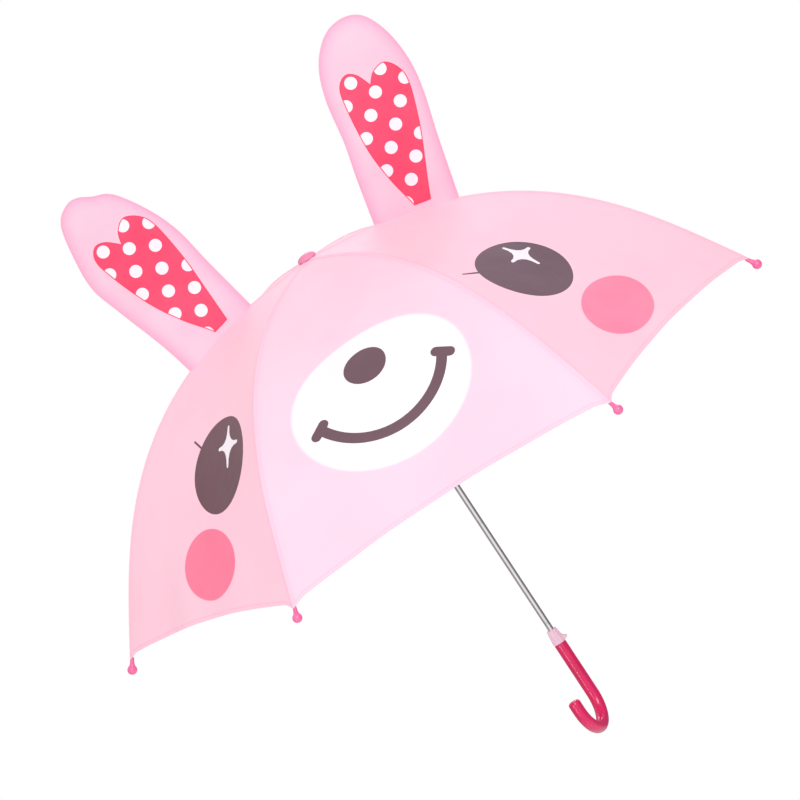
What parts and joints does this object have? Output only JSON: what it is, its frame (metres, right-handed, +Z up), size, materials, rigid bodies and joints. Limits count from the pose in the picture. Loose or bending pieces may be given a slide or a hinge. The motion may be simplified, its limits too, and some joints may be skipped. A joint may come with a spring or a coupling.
{
  "type": "children's umbrella",
  "caption": "Children's stick umbrella with a folding ribbed canopy, soft upright ears, a sliding runner and a hook handle.",
  "frame": {"origin": "on the shaft's axis in the middle of the straight grip, where a hand holds it", "axes": "+Z up along the shaft towards the cap; -Y towards the front gore; +X towards the right ear seen from the front"},
  "size_m": [0.7438, 0.6454, 0.7275],
  "materials": {
    "steel": "polished nickel plate",
    "canopy_cloth": "thin coated pongee, satin",
    "ear_cloth": "thin coated pongee over a soft filling",
    "tip_plastic": "glossy",
    "cap_plastic": "glossy",
    "handle_plastic": "high gloss",
    "collar_plastic": "clear tinted, glossy",
    "white_plastic": "moulded satin"
  },
  "bodies": {
    "root": {"shaft_tube": "steel", "top_cap": "cap_plastic", "notch_crown": "white_plastic", "notch_ring": "steel", "crown_pin": "steel", "collar": "collar_plastic", "handle": "handle_plastic"},
    "runner": {"runner": "white_plastic", "runner_ring": "steel"},
    "top_catch": {"top_catch": "steel"},
    "low_catch": {"low_catch": "steel"},
    "rib_inner_1": {"rib_inner_1": "steel", "rib_rivet_1": "steel"},
    "rib_inner_2": {"rib_inner_2": "steel", "rib_rivet_2": "steel", "ear_right": "ear_cloth"},
    "rib_inner_3": {"rib_inner_3": "steel", "rib_rivet_3": "steel"},
    "rib_inner_4": {"rib_inner_4": "steel", "rib_rivet_4": "steel"},
    "rib_inner_5": {"rib_inner_5": "steel", "rib_rivet_5": "steel", "ear_left": "ear_cloth"},
    "rib_inner_6": {"rib_inner_6": "steel", "rib_rivet_6": "steel"},
    "rib_outer_1": {"rib_outer_1": "steel", "rib_tip_1": "tip_plastic"},
    "rib_outer_2": {"rib_outer_2": "steel", "rib_tip_2": "tip_plastic"},
    "rib_outer_3": {"rib_outer_3": "steel", "rib_tip_3": "tip_plastic"},
    "rib_outer_4": {"rib_outer_4": "steel", "rib_tip_4": "tip_plastic"},
    "rib_outer_5": {"rib_outer_5": "steel", "rib_tip_5": "tip_plastic"},
    "rib_outer_6": {"rib_outer_6": "steel", "rib_tip_6": "tip_plastic"},
    "stretcher_1": {"stretcher_1": "steel"},
    "stretcher_2": {"stretcher_2": "steel"},
    "stretcher_3": {"stretcher_3": "steel"},
    "stretcher_4": {"stretcher_4": "steel"},
    "stretcher_5": {"stretcher_5": "steel"},
    "stretcher_6": {"stretcher_6": "steel"},
    "gore_inner_1": {"gore_inner_1": "canopy_cloth"},
    "gore_inner_2": {"gore_inner_2": "canopy_cloth"},
    "gore_inner_3": {"gore_inner_3": "canopy_cloth"},
    "gore_inner_4": {"gore_inner_4": "canopy_cloth"},
    "gore_inner_5": {"gore_inner_5": "canopy_cloth"},
    "gore_inner_6": {"gore_inner_6": "canopy_cloth"},
    "gore_outer_1": {"gore_outer_1": "canopy_cloth"},
    "gore_outer_2": {"gore_outer_2": "canopy_cloth"},
    "gore_outer_3": {"gore_outer_3": "canopy_cloth"},
    "gore_outer_4": {"gore_outer_4": "canopy_cloth", "closing_strap": "canopy_cloth", "strap_snap": "tip_plastic"},
    "gore_outer_5": {"gore_outer_5": "canopy_cloth"},
    "gore_outer_6": {"gore_outer_6": "canopy_cloth"}
  },
  "joints": [
    {"name": "canopy_fold", "type": "hinge", "parent": "root", "child": "rib_inner_1", "pos_m": [0.004, -0.00693, 0.4775], "axis": [0.866, 0.5, 0], "range_deg": [0, 71.95], "deforming": ["gore_inner_1", "gore_inner_2", "gore_inner_3", "gore_inner_4", "gore_inner_5", "gore_inner_6", "gore_outer_1", "gore_outer_2", "gore_outer_3", "gore_outer_4", "gore_outer_5", "gore_outer_6", "ear_left", "ear_right", "closing_strap", "strap_snap", "top_catch", "low_catch"]},
    {"name": "rib_fold_2", "type": "hinge", "parent": "root", "child": "rib_inner_2", "pos_m": [0.008, 0, 0.4775], "axis": [0, 1, 0], "range_deg": [0, 71.96]},
    {"name": "rib_fold_3", "type": "hinge", "parent": "root", "child": "rib_inner_3", "pos_m": [0.004, 0.00693, 0.4775], "axis": [-0.866, 0.5, 0], "range_deg": [0, 71.96]},
    {"name": "rib_fold_4", "type": "hinge", "parent": "root", "child": "rib_inner_4", "pos_m": [-0.004, 0.00693, 0.4775], "axis": [-0.866, -0.5, 0], "range_deg": [0, 71.96]},
    {"name": "rib_fold_5", "type": "hinge", "parent": "root", "child": "rib_inner_5", "pos_m": [-0.008, 0, 0.4775], "axis": [0, -1, 0], "range_deg": [0, 71.96]},
    {"name": "rib_fold_6", "type": "hinge", "parent": "root", "child": "rib_inner_6", "pos_m": [-0.004, -0.00693, 0.4775], "axis": [0.866, -0.5, 0], "range_deg": [0, 71.96]},
    {"name": "rib_flex_1", "type": "hinge", "parent": "rib_inner_1", "child": "rib_outer_1", "pos_m": [0.09007, -0.15601, 0.43823], "axis": [0.866, 0.5, 0], "range_deg": [-28.37, 0]},
    {"name": "rib_flex_2", "type": "hinge", "parent": "rib_inner_2", "child": "rib_outer_2", "pos_m": [0.18014, 0, 0.43823], "axis": [0, 1, 0], "range_deg": [-28.37, 0]},
    {"name": "rib_flex_3", "type": "hinge", "parent": "rib_inner_3", "child": "rib_outer_3", "pos_m": [0.09007, 0.15601, 0.43823], "axis": [-0.866, 0.5, 0], "range_deg": [-28.37, 0]},
    {"name": "rib_flex_4", "type": "hinge", "parent": "rib_inner_4", "child": "rib_outer_4", "pos_m": [-0.09007, 0.15601, 0.43823], "axis": [-0.866, -0.5, 0], "range_deg": [-28.37, 0]},
    {"name": "rib_flex_5", "type": "hinge", "parent": "rib_inner_5", "child": "rib_outer_5", "pos_m": [-0.18014, 0, 0.43823], "axis": [0, -1, 0], "range_deg": [-28.37, 0]},
    {"name": "rib_flex_6", "type": "hinge", "parent": "rib_inner_6", "child": "rib_outer_6", "pos_m": [-0.09007, -0.15601, 0.43823], "axis": [0.866, -0.5, 0], "range_deg": [-28.37, 0]},
    {"name": "stretcher_pivot_1", "type": "hinge", "parent": "rib_inner_1", "child": "stretcher_1", "pos_m": [0.09007, -0.15601, 0.43823], "axis": [0.866, 0.5, 0], "range_deg": [-143.91, 0]},
    {"name": "stretcher_pivot_2", "type": "hinge", "parent": "rib_inner_2", "child": "stretcher_2", "pos_m": [0.18014, 0, 0.43823], "axis": [0, 1, 0], "range_deg": [-143.91, 0]},
    {"name": "stretcher_pivot_3", "type": "hinge", "parent": "rib_inner_3", "child": "stretcher_3", "pos_m": [0.09007, 0.15601, 0.43823], "axis": [-0.866, 0.5, 0], "range_deg": [-143.91, 0]},
    {"name": "stretcher_pivot_4", "type": "hinge", "parent": "rib_inner_4", "child": "stretcher_4", "pos_m": [-0.09007, 0.15601, 0.43823], "axis": [-0.866, -0.5, 0], "range_deg": [-143.91, 0]},
    {"name": "stretcher_pivot_5", "type": "hinge", "parent": "rib_inner_5", "child": "stretcher_5", "pos_m": [-0.18014, 0, 0.43823], "axis": [0, -1, 0], "range_deg": [-143.91, 0]},
    {"name": "stretcher_pivot_6", "type": "hinge", "parent": "rib_inner_6", "child": "stretcher_6", "pos_m": [-0.09007, -0.15601, 0.43823], "axis": [0.866, -0.5, 0], "range_deg": [-143.91, 0]},
    {"name": "runner_pivot", "type": "hinge", "parent": "stretcher_1", "child": "runner", "pos_m": [0.004, -0.00693, 0.39896], "axis": [0.866, 0.5, 0], "range_deg": [0, 71.96]},
    {"name": "gore_fold_1", "type": "hinge", "parent": "root", "child": "gore_inner_1", "pos_m": [0, -0.00606, 0.48369], "axis": [1, 0, 0], "range_deg": [0, 67.95]},
    {"name": "gore_fold_2", "type": "hinge", "parent": "root", "child": "gore_inner_2", "pos_m": [0.00525, -0.00303, 0.48369], "axis": [0.5, 0.866, 0], "range_deg": [0, 67.95]},
    {"name": "gore_fold_3", "type": "hinge", "parent": "root", "child": "gore_inner_3", "pos_m": [0.00525, 0.00303, 0.48369], "axis": [-0.5, 0.866, 0], "range_deg": [0, 67.95]},
    {"name": "gore_fold_4", "type": "hinge", "parent": "root", "child": "gore_inner_4", "pos_m": [0, 0.00606, 0.48369], "axis": [-1, 0, 0], "range_deg": [0, 67.95]},
    {"name": "gore_fold_5", "type": "hinge", "parent": "root", "child": "gore_inner_5", "pos_m": [-0.00525, 0.00303, 0.48369], "axis": [-0.5, -0.866, 0], "range_deg": [0, 67.95]},
    {"name": "gore_fold_6", "type": "hinge", "parent": "root", "child": "gore_inner_6", "pos_m": [-0.00525, -0.00303, 0.48369], "axis": [0.5, -0.866, 0], "range_deg": [0, 67.95]},
    {"name": "gore_flex_1", "type": "hinge", "parent": "gore_inner_1", "child": "gore_outer_1", "pos_m": [0, -0.15775, 0.44226], "axis": [1, 0, 0], "range_deg": [-28.44, 0]},
    {"name": "gore_flex_2", "type": "hinge", "parent": "gore_inner_2", "child": "gore_outer_2", "pos_m": [0.13661, -0.07888, 0.44226], "axis": [0.5, 0.866, 0], "range_deg": [-28.44, 0]},
    {"name": "gore_flex_3", "type": "hinge", "parent": "gore_inner_3", "child": "gore_outer_3", "pos_m": [0.13661, 0.07888, 0.44226], "axis": [-0.5, 0.866, 0], "range_deg": [-28.44, 0]},
    {"name": "gore_flex_4", "type": "hinge", "parent": "gore_inner_4", "child": "gore_outer_4", "pos_m": [0, 0.15775, 0.44226], "axis": [-1, 0, 0], "range_deg": [-28.44, 0]},
    {"name": "gore_flex_5", "type": "hinge", "parent": "gore_inner_5", "child": "gore_outer_5", "pos_m": [-0.13661, 0.07888, 0.44226], "axis": [-0.5, -0.866, 0], "range_deg": [-28.44, 0]},
    {"name": "gore_flex_6", "type": "hinge", "parent": "gore_inner_6", "child": "gore_outer_6", "pos_m": [-0.13661, -0.07888, 0.44226], "axis": [0.5, -0.866, 0], "range_deg": [-28.44, 0]},
    {"name": "top_catch_press", "type": "slide", "parent": "root", "child": "top_catch", "axis": [0, -1, 0], "range_m": [0, 0.0026], "stiffness_N_per_m": 300},
    {"name": "low_catch_press", "type": "slide", "parent": "root", "child": "low_catch", "axis": [0, -1, 0], "range_m": [0, 0.0026], "stiffness_N_per_m": 300}
  ],
  "couplings": [
    {"joint": "rib_fold_2", "follows": "canopy_fold", "ratio": 1},
    {"joint": "rib_fold_3", "follows": "canopy_fold", "ratio": 1},
    {"joint": "rib_fold_4", "follows": "canopy_fold", "ratio": 1},
    {"joint": "rib_fold_5", "follows": "canopy_fold", "ratio": 1},
    {"joint": "rib_fold_6", "follows": "canopy_fold", "ratio": 1},
    {"joint": "rib_flex_1", "follows": "canopy_fold", "ratio": -0.39416},
    {"joint": "rib_flex_2", "follows": "canopy_fold", "ratio": -0.39416},
    {"joint": "rib_flex_3", "follows": "canopy_fold", "ratio": -0.39416},
    {"joint": "rib_flex_4", "follows": "canopy_fold", "ratio": -0.39416},
    {"joint": "rib_flex_5", "follows": "canopy_fold", "ratio": -0.39416},
    {"joint": "rib_flex_6", "follows": "canopy_fold", "ratio": -0.39416},
    {"joint": "stretcher_pivot_1", "follows": "canopy_fold", "ratio": -2},
    {"joint": "stretcher_pivot_2", "follows": "canopy_fold", "ratio": -2},
    {"joint": "stretcher_pivot_3", "follows": "canopy_fold", "ratio": -2},
    {"joint": "stretcher_pivot_4", "follows": "canopy_fold", "ratio": -2},
    {"joint": "stretcher_pivot_5", "follows": "canopy_fold", "ratio": -2},
    {"joint": "stretcher_pivot_6", "follows": "canopy_fold", "ratio": -2},
    {"joint": "runner_pivot", "follows": "canopy_fold", "ratio": 1},
    {"joint": "gore_fold_1", "follows": "canopy_fold", "ratio": 0.94427},
    {"joint": "gore_fold_2", "follows": "canopy_fold", "ratio": 0.94427},
    {"joint": "gore_fold_3", "follows": "canopy_fold", "ratio": 0.94427},
    {"joint": "gore_fold_4", "follows": "canopy_fold", "ratio": 0.94427},
    {"joint": "gore_fold_5", "follows": "canopy_fold", "ratio": 0.94427},
    {"joint": "gore_fold_6", "follows": "canopy_fold", "ratio": 0.94427},
    {"joint": "gore_flex_1", "follows": "canopy_fold", "ratio": -0.39514},
    {"joint": "gore_flex_2", "follows": "canopy_fold", "ratio": -0.39514},
    {"joint": "gore_flex_3", "follows": "canopy_fold", "ratio": -0.39514},
    {"joint": "gore_flex_4", "follows": "canopy_fold", "ratio": -0.39514},
    {"joint": "gore_flex_5", "follows": "canopy_fold", "ratio": -0.39514},
    {"joint": "gore_flex_6", "follows": "canopy_fold", "ratio": -0.39514}
  ]
}
